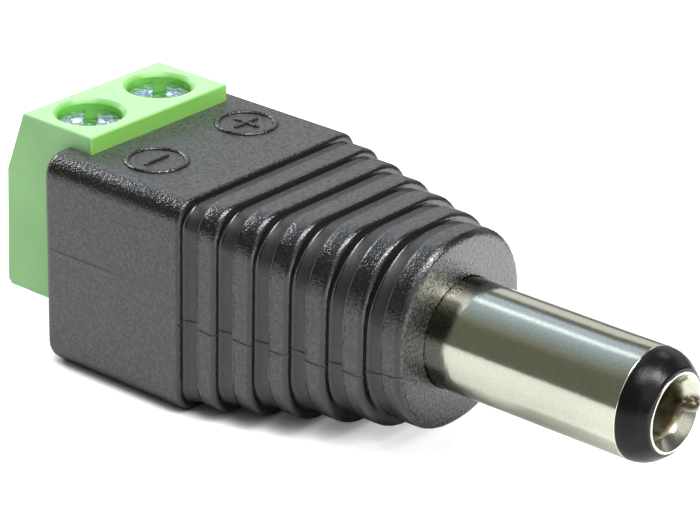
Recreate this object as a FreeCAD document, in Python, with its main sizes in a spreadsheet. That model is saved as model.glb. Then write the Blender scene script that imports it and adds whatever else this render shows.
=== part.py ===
"""DC barrel plug with a two-pole screw terminal, in millimetres.

The origin is on the barrel's axis where the barrel leaves the moulded body. +X runs along the barrel
to its tip, +Z is up and +Y is to the plus pole. Every length is a cell of the sheet, and each feature is
bound to it.
"""
import FreeCAD
import Part
import Sketcher
import os

RIBS = 6
POLES = (("minus", -1), ("plus", 1))
NEAR = 1e-4  # how close two levels are to count as one
BEYOND = 1  # how far a cutting shape runs past what it cuts

doc = FreeCAD.newDocument("BarrelPlug")
sheet = doc.addObject("Spreadsheet::Sheet", "Sizes")


class Length:
    """A length as a formula on the sheet, kept together with its value."""

    def __init__(self, text, value):
        self.text = text
        self.value = value

    @staticmethod
    def of(other):
        if isinstance(other, Length):
            return other
        return Length(str(other), float(other))

    def __add__(self, other):
        other = Length.of(other)
        return Length(f"({self.text} + {other.text})", self.value + other.value)

    def __sub__(self, other):
        other = Length.of(other)
        return Length(f"({self.text} - {other.text})", self.value - other.value)

    def __rsub__(self, other):
        return Length.of(other) - self

    def __mul__(self, factor):
        return Length(f"({self.text} * {factor})", self.value * factor)

    def __rmul__(self, factor):
        return self * factor

    def __truediv__(self, divisor):
        return Length(f"({self.text} / {divisor})", self.value / divisor)

    def __neg__(self):
        return self * -1


def cell(alias, value, meaning):
    """Puts one driving dimension on the sheet and returns it."""
    row = cell.row
    sheet.set(f"A{row}", meaning)
    sheet.set(f"B{row}", str(value))
    sheet.setAlias(f"B{row}", alias)
    cell.row = row + 1
    return Length(f"Sizes.{alias}", value)


cell.row = 1

# Moulded body
body_width = cell("bodyWidth", 13.1, "width of the block")
body_top = cell("bodyTop", 5.05, "top of the block above the barrel's axis")
body_bottom = cell("bodyBottom", 6.15, "underside of the block below the axis")
block_length = cell("blockLength", 9.1, "length of the plain block")
block_corner = cell("blockCorner", 1.2, "radius of the block's long edges")
rear_edge = cell("rearEdge", 0.5, "radius of the block's rear edges")
rib_step = cell("ribStep", 2.0, "from one rib to the next")
crest_length = cell("crestLength", 1.18, "length of a rib's crest")
groove_depth = cell("grooveDepth", 0.35, "depth of the grooves")
front_width = cell("frontWidth", 9.2, "width of the last rib")
front_top = cell("frontTop", 5.0, "top of the last rib above the axis")
front_bottom = cell("frontBottom", 4.8, "underside of the last rib below the axis")
front_corner = cell("frontCorner", 4.3, "corner radius of the last rib")
front_edge = cell("frontEdge", 0.4, "radius round the front face")

# Terminal housing
pole_pitch = cell("polePitch", 5.0, "between the two poles")
housing_width = cell("housingWidth", 9.84, "width of the housing")
housing_height = cell("housingHeight", 9.65, "height of the housing")
plate_proud = cell("plateProud", 0.89, "top plate above the body")
plate_seat = cell("plateSeat", 1.85, "top plate over the body, along X")
plate_length = cell("plateLength", 4.75, "length of the top plate")
housing_seat = cell("housingSeat", 3.1, "housing inside the body, along X")
shoulder_drop = cell("shoulderDrop", 1.6, "front shoulder below the top plate")
slope_drop = cell("slopeDrop", 3.28, "foot of the rear slope below the top plate")
slope_run = cell("slopeRun", 1.2, "run of the rear slope")
rear_draft = cell("rearDraft", 0.15, "draft of the rear face")
foot_chamfer = cell("footChamfer", 0.25, "chamfer at the foot of the rear face")
cavity_width = cell("cavityWidth", 3.8, "width of a clamp's cavity")
cavity_length = cell("cavityLength", 5.2, "length of a clamp's cavity")
cavity_corner = cell("cavityCorner", 0.2, "corner radius of a clamp's cavity")
housing_floor = cell("housingFloor", 0.9, "floor under the cavities")
web_thickness = cell("webThickness", 0.8, "web that carries the screw's head")
well_diameter = cell("wellDiameter", 3.28, "screw well")
well_chamfer = cell("wellChamfer", 0.2, "chamfer at the well's mouth")
entry_width = cell("entryWidth", 3.2, "width of a wire entry")
entry_height = cell("entryHeight", 2.4, "height of a wire entry")
entry_corner = cell("entryCorner", 0.5, "corner radius of a wire entry")
entry_chamfer = cell("entryChamfer", 0.25, "lead-in of a wire entry")

# Clamp screw, rising cage and contact bar
screw_set = cell("screwSet", 2.47, "screw axis behind the plate's front edge")
head_recess = cell("headRecess", 0.44, "head below the top plate")
head_diameter = cell("headDiameter", 3.1, "screw head")
head_height = cell("headHeight", 1.1, "height of the head")
head_edge = cell("headEdge", 0.25, "rounding of the head")
slot_width = cell("slotWidth", 0.7, "screw slot")
slot_depth = cell("slotDepth", 0.6, "depth of the slot")
slot_turn = cell("slotTurn", -50.0, "slot from the X axis, in degrees")
screw_diameter = cell("screwDiameter", 2.5, "screw thread, outside")
seat_gap = cell("seatGap", 0.05, "play under the head")
shank_gap = cell("shankGap", 0.08, "play round the shank in the web")
thread_gap = cell("threadGap", 0.03, "play in the cage's thread")
tip_gap = cell("tipGap", 0.03, "play under the screw's tip")
cage_travel = cell("cageTravel", 1.8, "lift of the cage")
cage_play = cell("cagePlay", 0.15, "play round the cage")
cage_length = cell("cageLength", 3.6, "length of the cage")
cage_wall = cell("cageWall", 0.4, "side walls of the cage")
cage_top = cell("cageTop", 1.0, "threaded top of the cage")
cage_floor = cell("cageFloor", 0.6, "floor of the cage")
bar_gap = cell("barGap", 0.1, "play between the cage and the bar")
bar_thickness = cell("barThickness", 0.7, "contact bar")
bar_inset = cell("barInset", 0.35, "bar short of the cavity's rear wall")
tail_width = cell("tailWidth", 1.0, "tail of the contact bar")
tail_length = cell("tailLength", 2.6, "tail ahead of the housing")

# Barrel
barrel_diameter = cell("barrelDiameter", 5.5, "outside of the sleeve")
barrel_length = cell("barrelLength", 10.83, "sleeve ahead of the body")
sleeve_wall = cell("sleeveWall", 0.3, "wall of the sleeve")
neck_depth = cell("neckDepth", 0.15, "how much the sleeve narrows from the front face to the flange")
flange_diameter = cell("flangeDiameter", 7.2, "anchoring flange of the sleeve")
flange_thickness = cell("flangeThickness", 1.0, "thickness of the flange")
flange_depth = cell("flangeDepth", 0.5, "flange behind the front face")
spigot_diameter = cell("spigotDiameter", 5.9, "spigot behind the flange")
spigot_length = cell("spigotLength", 3.5, "length of the spigot")
nose_length = cell("noseLength", 1.4, "insulating nose ahead of the sleeve")
nose_inset = cell("noseInset", 0.02, "nose below the sleeve's surface")
nose_cylinder = cell("noseCylinder", 0.6, "straight part of the nose")
nose_face = cell("noseFace", 2.1, "radius where the nose meets the flare")
nose_round = cell("noseRound", 0.5, "rounding of the nose")
core_diameter = cell("coreDiameter", 3.1, "outside of the centre contact")
bore_diameter = cell("boreDiameter", 2.5, "bore of the centre contact")
bore_floor = cell("boreFloor", 0.79, "end of the bore ahead of the front face")
tip_proud = cell("tipProud", 0.06, "flare ahead of the nose")
flare_diameter = cell("flareDiameter", 3.94, "rim of the flare")
flare_depth = cell("flareDepth", 0.61, "depth of the flare")
flare_rim = cell("flareRim", 0.12, "flat of the flare's rim")
flare_wall = cell("flareWall", 0.3, "flare's outer cone, longer than the inner one by")
washer_thickness = cell("washerThickness", 0.8, "rear insulating washer")
rivet_diameter = cell("rivetDiameter", 1.6, "tail of the centre contact")
rivet_head = cell("rivetHead", 2.4, "swaged end of the tail")
rivet_length = cell("rivetLength", 0.4, "length of the swaged end")
lug_thickness = cell("lugThickness", 0.4, "lug strip")
lug_clearance = cell("lugClearance", 0.05, "between the spigot and the strip")
lug_height = cell("lugHeight", 2.0, "width of the strip, upright")
lug_overlap = cell("lugOverlap", 1.8, "strip beside the contact's tail")
lug_ring = cell("lugRing", 7.6, "ring of the sleeve's lug")
eye_diameter = cell("eyeDiameter", 4.0, "eye of the centre lug")
arm_overlap = cell("armOverlap", 0.9, "arm of the centre lug inside its eye")
solder_diameter = cell("solderDiameter", 2.6, "solder joint")

doc.recompute()

# Places that follow from the sizes
rib_length = rib_step * RIBS
block_front = -rib_length
body_rear = block_front - block_length
plate_top = body_top + plate_proud
plate_front = body_rear + plate_seat
plate_rear = plate_front - plate_length
slope_foot = plate_top - slope_drop
slope_rear = plate_rear - slope_run
housing_rear = slope_rear - rear_draft
housing_front = body_rear + housing_seat
housing_bottom = plate_top - housing_height
screw_x = plate_front - screw_set
cavity_front = screw_x + cavity_length / 2
cavity_rear = screw_x - cavity_length / 2
cavity_floor = housing_bottom + housing_floor
head_top = plate_top - head_recess
head_bottom = head_top - head_height
web_top = head_bottom - seat_gap
cavity_roof = web_top - web_thickness
cage_width = cavity_width - 2 * cage_play
bar_top = cavity_roof - cage_play - cage_travel - cage_top - bar_gap
bar_bottom = bar_top - bar_thickness
cage_floor_top = bar_bottom - bar_gap - cage_travel
bar_width = cage_width - 2 * cage_wall - 2 * bar_gap
tail_end = housing_front + tail_length
nose_front = barrel_length + nose_length
tip = nose_front + tip_proud
flare_start = tip - flare_depth - flare_wall
flange_front = -flange_depth
flange_rear = flange_front - flange_thickness
spigot_rear = flange_rear - spigot_length
washer_rear = spigot_rear - washer_thickness
eye_rear = washer_rear - lug_thickness
lug_inner = spigot_diameter / 2 + lug_clearance
lug_outer = lug_inner + lug_thickness
lug_end = tail_end - lug_overlap


# Helpers
def bind(target, name, length):
    """Ties one property to the sheet."""
    target.setExpression(name, Length.of(length).text)


def place(target, x, y, z):
    """Ties an object's position to the sheet."""
    for axis, length in (("x", x), ("y", y), ("z", z)):
        bind(target, f"Placement.Base.{axis}", length)


def box(name, low, size):
    """A box from its lowest corner and its size."""
    solid = doc.addObject("Part::Box", name)
    for side, length in zip(("Length", "Width", "Height"), size):
        bind(solid, side, length)
    place(solid, *low)
    return solid


def upright(name, centre, radius, height):
    """A cylinder along +Z from the centre of its lower face."""
    solid = doc.addObject("Part::Cylinder", name)
    bind(solid, "Radius", radius)
    bind(solid, "Height", height)
    place(solid, *centre)
    return solid


def fuse(name, solids):
    """Several solids as one."""
    joined = doc.addObject("Part::MultiFuse", name)
    joined.Shapes = solids
    return joined


def cut(name, base, tool):
    """A solid less another."""
    rest = doc.addObject("Part::Cut", name)
    rest.Base = base
    rest.Tool = tool
    return rest


def new_body(name):
    return doc.addObject("PartDesign::Body", name)


def new_sketch(body, name, role, offset=None):
    """A sketch on one of the body's own planes, moved along the plane's normal."""
    sketch = body.newObject("Sketcher::SketchObject", name)
    planes = [feature for feature in body.Origin.OriginFeatures if feature.Role == role]
    sketch.AttachmentSupport = [(planes[0], "")]
    sketch.MapMode = "FlatFace"
    if offset is not None:
        bind(sketch, "AttachmentOffset.Base.z", offset)
    return sketch


def pin_vertex(sketch, edge, end, across, up, name):
    """Ties one end of a sketch edge to its two coordinates."""
    for kind, length, letter in (("DistanceX", across, "x"), ("DistanceY", up, "y")):
        length = Length.of(length)
        index = sketch.addConstraint(Sketcher.Constraint(kind, -1, 1, edge, end, length.value))
        sketch.renameConstraint(index, name + letter)
        bind(sketch, f"Constraints.{name}{letter}", length)


def polygon(sketch, points):
    """A closed outline of straight lines through points given as pairs of lengths."""
    corners = [FreeCAD.Vector(Length.of(a).value, Length.of(b).value, 0) for a, b in points]
    count = len(points)
    for index in range(count):
        sketch.addGeometry(Part.LineSegment(corners[index], corners[(index + 1) % count]), False)
    for index in range(count):
        sketch.addConstraint(Sketcher.Constraint("Coincident", index, 2, (index + 1) % count, 1))
    for index, (across, up) in enumerate(points):
        pin_vertex(sketch, index, 1, across, up, f"corner{index}")


def rounded_rectangle(sketch, left, right, low, high, radius):
    """A rectangle with round corners: lines and quarter arcs, tangent where they meet."""
    x0, x1, y0, y1, r = (Length.of(v).value for v in (left, right, low, high, radius))
    slant = r * 0.5 ** 0.5
    starts = ((x0 + r, y0), (x1, y0 + r), (x1 - r, y1), (x0, y1 - r))
    ends = ((x1 - r, y0), (x1, y1 - r), (x0 + r, y1), (x0, y0 + r))
    bulges = ((x1 - r + slant, y0 + r - slant), (x1 - r + slant, y1 - r + slant),
              (x0 + r - slant, y1 - r + slant), (x0 + r - slant, y0 + r - slant))
    for side in range(4):
        start, end, bulge, following = (FreeCAD.Vector(*spot, 0) for spot in
                                        (starts[side], ends[side], bulges[side], starts[(side + 1) % 4]))
        sketch.addGeometry(Part.LineSegment(start, end), False)
        sketch.addGeometry(Part.Arc(end, bulge, following), False)
    for side in range(4):
        line, arc = 2 * side, 2 * side + 1
        sketch.addConstraint(Sketcher.Constraint("Horizontal" if side % 2 == 0 else "Vertical", line))
        sketch.addConstraint(Sketcher.Constraint("Tangent", line, 2, arc, 1))
        sketch.addConstraint(Sketcher.Constraint("Tangent", arc, 2, (line + 2) % 8, 1))
        if side:
            sketch.addConstraint(Sketcher.Constraint("Equal", 1, arc))
    corner = sketch.addConstraint(Sketcher.Constraint("Radius", 1, Length.of(radius).value))
    sketch.renameConstraint(corner, "corner")
    bind(sketch, "Constraints.corner", radius)
    for kind, edge, length, name in (("DistanceY", 0, low, "low"), ("DistanceX", 2, right, "right"),
                                     ("DistanceY", 4, high, "high"), ("DistanceX", 6, left, "left")):
        index = sketch.addConstraint(Sketcher.Constraint(kind, -1, 1, edge, 1, Length.of(length).value))
        sketch.renameConstraint(index, name)
        bind(sketch, f"Constraints.{name}", length)


def pad(body, name, sketch, length, midplane=False):
    """The sketch drawn out along its normal."""
    feature = body.newObject("PartDesign::Pad", name)
    feature.Profile = sketch
    bind(feature, "Length", length)
    feature.Midplane = midplane
    return feature


def pocket(body, name, sketch, length, midplane=False, reverse=False):
    """The sketch cut away along its normal."""
    feature = body.newObject("PartDesign::Pocket", name)
    feature.Profile = sketch
    bind(feature, "Length", length)
    feature.Midplane = midplane
    feature.Reversed = reverse
    return feature


def revolve(body, name, sketch):
    """The sketch turned round its own horizontal axis."""
    feature = body.newObject("PartDesign::Revolution", name)
    feature.Profile = sketch
    feature.ReferenceAxis = (sketch, ["H_Axis"])
    feature.Angle = 360
    return feature


def dress(body, kind, name, base, test, amount):
    """A fillet or chamfer on every edge of the base that passes the test."""
    doc.recompute()
    chosen = [f"Edge{number}" for number, edge in enumerate(base.Shape.Edges, 1) if test(edge)]
    feature = body.newObject(f"PartDesign::{kind}", name)
    feature.Base = (base, chosen)
    bind(feature, "Radius" if kind == "Fillet" else "Size", amount)
    return feature


def flat_at(edge, axis, level):
    """Whether the whole edge lies in the plane where the axis has this level."""
    low, high = getattr(edge.BoundBox, axis + "Min"), getattr(edge.BoundBox, axis + "Max")
    return abs(low - level.value) < NEAR and abs(high - level.value) < NEAR


def along_rib(share, block, front):
    """A size of the ribs that runs evenly from the block to the front face."""
    return block + (front - block) * share


def rib_section(body, name, rib, inset, offset):
    """The rounded section of one rib, or of the grooves' floor inside it."""
    share = rib / RIBS
    half = along_rib(share, body_width, front_width) / 2 - inset
    top = along_rib(share, body_top, front_top) - inset
    bottom = along_rib(share, body_bottom, front_bottom) - inset
    corner = along_rib(share, block_corner, front_corner)
    sketch = new_sketch(body, name, "YZ_Plane", offset)
    rounded_rectangle(sketch, -half, half, -bottom, top, corner)
    return sketch


# Moulded body: a block, a tapering core and six crests
def make_moulding():
    """The overmould's outside, with the pocket that takes the housing."""
    body = new_body("moulding")
    block = new_sketch(body, "blockSection", "YZ_Plane", body_rear)
    rounded_rectangle(block, -body_width / 2, body_width / 2, -body_bottom, body_top, block_corner)
    pad(body, "block", block, block_length)
    core = body.newObject("PartDesign::AdditiveLoft", "core")
    core.Profile = rib_section(body, "coreStart", 0, groove_depth, block_front)
    core.Sections = [rib_section(body, "coreEnd", RIBS, groove_depth, Length.of(0) - crest_length / 2)]
    for rib in range(1, RIBS + 1):
        start = block_front + rib_step * rib - crest_length
        section = rib_section(body, f"crestSection{rib}", rib, Length.of(0), start)
        crest = pad(body, f"crest{rib}", section, crest_length)
    front = dress(body, "Fillet", "frontRound", crest,
                  lambda edge: flat_at(edge, "X", Length.of(0)), front_edge)
    dress(body, "Fillet", "rearRound", front, lambda edge: flat_at(edge, "X", body_rear), rear_edge)
    seat = new_sketch(body, "housingSeatOutline", "XZ_Plane")
    above = plate_top + BEYOND
    behind = body_rear - BEYOND
    polygon(seat, ((behind, above), (plate_front, above), (plate_front, plate_top - shoulder_drop),
                   (housing_front, plate_top - shoulder_drop), (housing_front, housing_bottom),
                   (behind, housing_bottom)))
    pocket(body, "housingPocket", seat, housing_width, midplane=True)
    return body


# Terminal housing
def make_housing():
    """A prism with a sloped back, two clamp cavities, their wells and wire entries."""
    body = new_body("terminal_housing")
    outline = new_sketch(body, "housingOutline", "XZ_Plane")
    shoulder = plate_top - shoulder_drop
    polygon(outline, ((plate_rear, plate_top), (plate_front, plate_top), (plate_front, shoulder),
                      (housing_front, shoulder), (housing_front, housing_bottom),
                      (housing_rear + foot_chamfer, housing_bottom),
                      (housing_rear, housing_bottom + foot_chamfer), (slope_rear, slope_foot)))
    pad(body, "housingPrism", outline, housing_width, midplane=True)
    for pole, side in POLES:
        centre = pole_pitch / 2 * side
        cavity = new_sketch(body, f"cavityOutline_{pole}", "XY_Plane", cavity_roof)
        rounded_rectangle(cavity, cavity_rear, cavity_front, centre - cavity_width / 2,
                          centre + cavity_width / 2, cavity_corner)
        pocket(body, f"cavity_{pole}", cavity, cavity_roof - cavity_floor)
        well = new_sketch(body, f"wellCircle_{pole}", "XY_Plane", plate_top)
        circle(well, screw_x, centre, well_diameter / 2)
        pocket(body, f"well_{pole}", well, plate_top - web_top)
        shank = new_sketch(body, f"shankCircle_{pole}", "XY_Plane", web_top)
        circle(shank, screw_x, centre, screw_diameter / 2 + shank_gap)
        pocket(body, f"shankHole_{pole}", shank, web_thickness)
        entry = new_sketch(body, f"entryOutline_{pole}", "YZ_Plane", cavity_rear)
        rounded_rectangle(entry, centre - entry_width / 2, centre + entry_width / 2,
                          cage_floor_top - bar_gap, cage_floor_top - bar_gap + entry_height, entry_corner)
        pocket(body, f"entry_{pole}", entry, cavity_rear - housing_rear)
        slot = new_sketch(body, f"barSlot_{pole}", "YZ_Plane", housing_front)
        polygon(slot, ((centre - bar_width / 2, bar_bottom), (centre + bar_width / 2, bar_bottom),
                       (centre + bar_width / 2, bar_top), (centre - bar_width / 2, bar_top)))
        last = pocket(body, f"barSlotCut_{pole}", slot, housing_front - cavity_front)
    mouths = dress(body, "Chamfer", "wellMouths", last,
                   lambda edge: flat_at(edge, "Z", plate_top) and edge.Curve.TypeId == "Part::GeomCircle",
                   well_chamfer)
    dress(body, "Chamfer", "entryMouths", mouths, on_entry_mouth, entry_chamfer)
    return body


def on_entry_mouth(edge):
    """Whether the edge runs round a wire entry in the drafted rear face."""
    run = housing_rear.value - slope_rear.value
    rise = slope_foot.value - housing_bottom.value - foot_chamfer.value
    inside = housing_width.value / 2 - NEAR
    for vertex in edge.Vertexes:
        drop = slope_foot.value - vertex.Z
        if abs(vertex.X - slope_rear.value - run * drop / rise) > NEAR or abs(vertex.Y) > inside:
            return False
    return True


def circle(sketch, across, up, radius):
    """A circle with its centre and radius tied to the sheet."""
    across, up, radius = Length.of(across), Length.of(up), Length.of(radius)
    middle = FreeCAD.Vector(across.value, up.value, 0)
    sketch.addGeometry(Part.Circle(middle, FreeCAD.Vector(0, 0, 1), radius.value), False)
    index = sketch.addConstraint(Sketcher.Constraint("Radius", 0, radius.value))
    sketch.renameConstraint(index, "radius")
    bind(sketch, "Constraints.radius", radius)
    pin_vertex(sketch, 0, 3, across, up, "centre")


# Clamp screws
def make_screw(pole, side):
    """Head with a slot, shank down to the contact bar."""
    centre = pole_pitch / 2 * side
    body = new_body(f"clamp_screw_{pole}")
    head = new_sketch(body, f"headCircle_{pole}", "XY_Plane", head_bottom)
    circle(head, screw_x, centre, head_diameter / 2)
    top = pad(body, f"head_{pole}", head, head_height)
    dress(body, "Fillet", f"headRound_{pole}", top, lambda edge: flat_at(edge, "Z", head_top), head_edge)
    shank = new_sketch(body, f"threadCircle_{pole}", "XY_Plane", bar_top + tip_gap)
    circle(shank, screw_x, centre, screw_diameter / 2)
    pad(body, f"thread_{pole}", shank, head_bottom - bar_top - tip_gap)
    slot = new_sketch(body, f"slotOutline_{pole}", "XY_Plane", head_top)
    bind(slot, "AttachmentOffset.Base.x", screw_x)
    bind(slot, "AttachmentOffset.Base.y", centre)
    bind(slot, "AttachmentOffset.Rotation.Angle", slot_turn)
    reach = head_diameter / 2 + BEYOND
    half = slot_width / 2
    polygon(slot, ((-reach, -half), (reach, -half), (reach, half), (-reach, half)))
    pocket(body, f"slot_{pole}", slot, slot_depth)
    return body


# Rising cages and contact bars
def make_cage(pole, side):
    """A box frame round the bar, open front and back, threaded through its top."""
    centre = pole_pitch / 2 * side
    bottom = cage_floor_top - cage_floor
    window_height = bar_top + bar_gap - cage_floor_top
    height = cage_floor + window_height + cage_top
    frame = box(f"cageBlock_{pole}", (screw_x - cage_length / 2, centre - cage_width / 2, bottom),
                (cage_length, cage_width, height))
    window = box(f"cageWindow_{pole}",
                 (screw_x - cage_length / 2 - BEYOND, centre - cage_width / 2 + cage_wall, cage_floor_top),
                 (cage_length + 2 * BEYOND, cage_width - 2 * cage_wall, window_height))
    thread = upright(f"cageThread_{pole}", (screw_x, centre, cage_floor_top + window_height - BEYOND),
                     screw_diameter / 2 + thread_gap, cage_top + 2 * BEYOND)
    return cut(f"clamp_cage_{pole}", frame, fuse(f"cageCuts_{pole}", [window, thread]))


def make_bar(pole, side):
    """The fixed bar that the wire is clamped to, and its narrower tail."""
    centre = pole_pitch / 2 * side
    rear = cavity_rear + bar_inset
    wide = box(f"barWide_{pole}", (rear, centre - bar_width / 2, bar_bottom),
               (housing_front - rear, bar_width, bar_thickness))
    tail_centre = (lug_inner - tail_width / 2) * side
    tail = box(f"barTail_{pole}", (housing_front, tail_centre - tail_width / 2, bar_bottom),
               (tail_length, tail_width, bar_thickness))
    return fuse(f"contact_bar_{pole}", [wide, tail])


# Barrel
def turned(name, points):
    """A body turned round X from an outline of (x, radius) points."""
    body = new_body(name)
    sketch = new_sketch(body, name + "Outline", "XZ_Plane")
    polygon(sketch, points)
    return body, revolve(body, name + "Turned", sketch)


def make_sleeve():
    """The outer contact: a thin tube, a tapering neck and a flange in the moulding, and a spigot for its lug."""
    outer = barrel_diameter / 2
    inner = outer - sleeve_wall
    neck = outer - neck_depth
    spigot = spigot_diameter / 2
    flange = flange_diameter / 2
    return turned("barrel_sleeve", ((spigot_rear, inner), (barrel_length, inner), (barrel_length, outer),
                                    (Length.of(0), outer), (flange_front, neck), (flange_front, flange),
                                    (flange_rear, flange), (flange_rear, spigot),
                                    (spigot_rear, spigot)))[0]


def make_insulator():
    """The nose and the tube that keeps the two contacts apart."""
    tube = barrel_diameter / 2 - sleeve_wall
    nose = barrel_diameter / 2 - nose_inset
    core = core_diameter / 2
    shoulder = barrel_length + nose_cylinder
    body, solid = turned("barrel_insulator",
                         ((spigot_rear, core), (flare_start, core), (nose_front, flare_diameter / 2),
                          (nose_front, nose_face), (shoulder, nose), (barrel_length, nose),
                          (barrel_length, tube), (spigot_rear, tube)))
    dress(body, "Fillet", "noseRound", solid, lambda edge: flat_at(edge, "X", shoulder), nose_round)
    return body


def make_centre_contact():
    """The inner contact: a flared tube, solid behind its bore, with a swaged tail."""
    core = core_diameter / 2
    bore = bore_diameter / 2
    rim = flare_diameter / 2
    tail = rivet_diameter / 2
    head = rivet_head / 2
    head_rear = eye_rear - rivet_length
    return turned("centre_contact",
                  ((head_rear, Length.of(0)), (bore_floor - bore / 2, Length.of(0)), (bore_floor, bore),
                   (tip - flare_depth, bore), (tip, rim - flare_rim), (tip, rim), (nose_front, rim),
                   (flare_start, core), (spigot_rear, core), (spigot_rear, tail), (eye_rear, tail),
                   (eye_rear, head), (head_rear, head)))[0]


def make_washer():
    """The insulating washer behind the sleeve, as wide as the spigot."""
    tail = rivet_diameter / 2
    edge = spigot_diameter / 2
    return turned("rear_insulating_washer", ((washer_rear, tail), (spigot_rear, tail), (spigot_rear, edge),
                                             (washer_rear, edge)))[0]


# Lugs and solder joints
def make_sleeve_lug():
    """A ring behind the flange with a strip back to the minus tail."""
    behind = flange_rear - lug_thickness
    inner = spigot_diameter / 2
    outer = lug_ring / 2
    ring = turned("sleeveLugRing", ((behind, inner), (flange_rear, inner), (flange_rear, outer),
                                    (behind, outer)))[0]
    strip = box("sleeveLugStrip", (lug_end, -lug_outer, -lug_height / 2),
                (flange_rear - lug_end, lug_thickness, lug_height))
    return fuse("sleeve_lug", [ring, strip])


def make_centre_lug():
    """An eye under the swaged tail, an arm to the side and a strip back to the plus tail."""
    inner = rivet_diameter / 2
    outer = eye_diameter / 2
    eye = turned("centreLugEye", ((eye_rear, inner), (washer_rear, inner), (washer_rear, outer),
                                  (eye_rear, outer)))[0]
    start = outer - arm_overlap
    arm = box("centreLugArm", (eye_rear, start, -lug_height / 2),
              (lug_thickness, lug_outer - start, lug_height))
    strip = box("centreLugStrip", (lug_end, lug_inner, -lug_height / 2),
                (washer_rear - lug_end, lug_thickness, lug_height))
    return fuse("centre_lug", [eye, arm, strip])


def make_solder(pole, side, tail, lug):
    """A bead of solder round the tail and the strip where they lie together."""
    bead = doc.addObject("Part::Sphere", f"solderBead_{pole}")
    bind(bead, "Radius", solder_diameter / 2)
    place(bead, tail_end - lug_overlap / 2, lug_inner * side, (bar_top + bar_bottom) / 2)
    return cut(f"solder_joint_{pole}", bead, fuse(f"solderKept_{pole}", [tail, lug]))


moulding = make_moulding()
housing = make_housing()
screws = [make_screw(pole, side) for pole, side in POLES]
cages = [make_cage(pole, side) for pole, side in POLES]
bars = [make_bar(pole, side) for pole, side in POLES]
sleeve = make_sleeve()
insulator = make_insulator()
contact = make_centre_contact()
washer = make_washer()
lugs = [make_sleeve_lug(), make_centre_lug()]
solder = [make_solder(pole, side, bars[index], lugs[index]) for index, (pole, side) in enumerate(POLES)]
embedded = fuse("embedded", [sleeve, insulator, contact, washer] + lugs + bars + solder)
moulded = cut("moulded_body", moulding, embedded)
doc.recompute()

nodes = [moulded, housing, sleeve, insulator, contact, washer] + screws + cages + bars + lugs + solder
for item in nodes:
    item.Label = item.Name

for item in doc.Objects:
    if "Invalid" in item.State or "Error" in item.State:
        raise RuntimeError(f"{item.Label} failed: {item.State}")
os.makedirs("parts", exist_ok=True)
for item in nodes:
    shape = item.Shape
    if shape.isNull() or not shape.isValid() or not shape.Solids:
        raise RuntimeError(f"{item.Label} has no valid solid")
for item in nodes:
    item.Shape.exportStep(f"parts/{item.Label}.step")
    print(item.Label, len(item.Shape.Solids), round(item.Shape.Volume, 3), item.Shape.BoundBox)
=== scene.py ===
"""DC barrel plug with a screw terminal: its visible pieces, finishes, light and camera.

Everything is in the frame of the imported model: the origin is on the barrel's axis at the body's front face,
+X runs to the tip and +Z is up. Sizes are written in millimetres and stored in metres.
"""

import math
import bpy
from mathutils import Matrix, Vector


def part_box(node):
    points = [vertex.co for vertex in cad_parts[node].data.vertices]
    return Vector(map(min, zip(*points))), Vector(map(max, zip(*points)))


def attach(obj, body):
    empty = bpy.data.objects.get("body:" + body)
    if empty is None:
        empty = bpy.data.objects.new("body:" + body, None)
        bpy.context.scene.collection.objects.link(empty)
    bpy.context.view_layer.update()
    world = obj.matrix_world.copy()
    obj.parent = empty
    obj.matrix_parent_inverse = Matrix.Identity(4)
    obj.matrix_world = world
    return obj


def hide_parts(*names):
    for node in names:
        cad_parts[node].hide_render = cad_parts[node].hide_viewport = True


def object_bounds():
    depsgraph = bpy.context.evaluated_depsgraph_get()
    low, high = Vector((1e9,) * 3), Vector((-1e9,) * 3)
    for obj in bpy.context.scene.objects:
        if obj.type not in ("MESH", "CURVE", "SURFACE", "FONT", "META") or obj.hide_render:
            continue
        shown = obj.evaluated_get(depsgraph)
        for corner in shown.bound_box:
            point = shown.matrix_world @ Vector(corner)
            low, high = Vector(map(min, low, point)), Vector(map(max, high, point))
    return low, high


bl_info = {
    "name": "Barrel plug with screw terminal",
    "version": (1, 0, 0),
    "blender": (4, 5, 0),
    "location": "View3D > Sidebar > Barrel plug",
    "description": "Builds a DC barrel plug with a ribbed body and a two-pole screw terminal",
    "category": "Object",
}

import bpy
import numpy as np
from mathutils import Matrix

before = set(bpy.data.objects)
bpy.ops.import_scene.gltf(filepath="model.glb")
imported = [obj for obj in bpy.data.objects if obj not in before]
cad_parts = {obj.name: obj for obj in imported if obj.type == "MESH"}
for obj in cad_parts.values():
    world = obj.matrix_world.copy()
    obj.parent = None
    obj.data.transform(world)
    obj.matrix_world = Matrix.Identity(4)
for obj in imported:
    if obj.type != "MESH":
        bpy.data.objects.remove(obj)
cad_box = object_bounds()

MM = 0.001
RIBS = 6
POLES = (("minus", -1), ("plus", 1))


def length(name, description, millimetres):
    """A size of the object as a property."""
    return bpy.props.FloatProperty(name=name, description=description, default=millimetres * MM,
                                   subtype="DISTANCE", unit="LENGTH", precision=5)


def colour(name, description, red, green, blue):
    """A colour of the object as a property."""
    return bpy.props.FloatVectorProperty(name=name, description=description, default=(red, green, blue, 1.0),
                                         size=4, min=0.0, max=1.0, subtype="COLOR")


def share(name, description, value):
    """A number from 0 to 1 as a property."""
    return bpy.props.FloatProperty(name=name, description=description, default=value, min=0.0, max=1.0,
                                   subtype="FACTOR")


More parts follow.
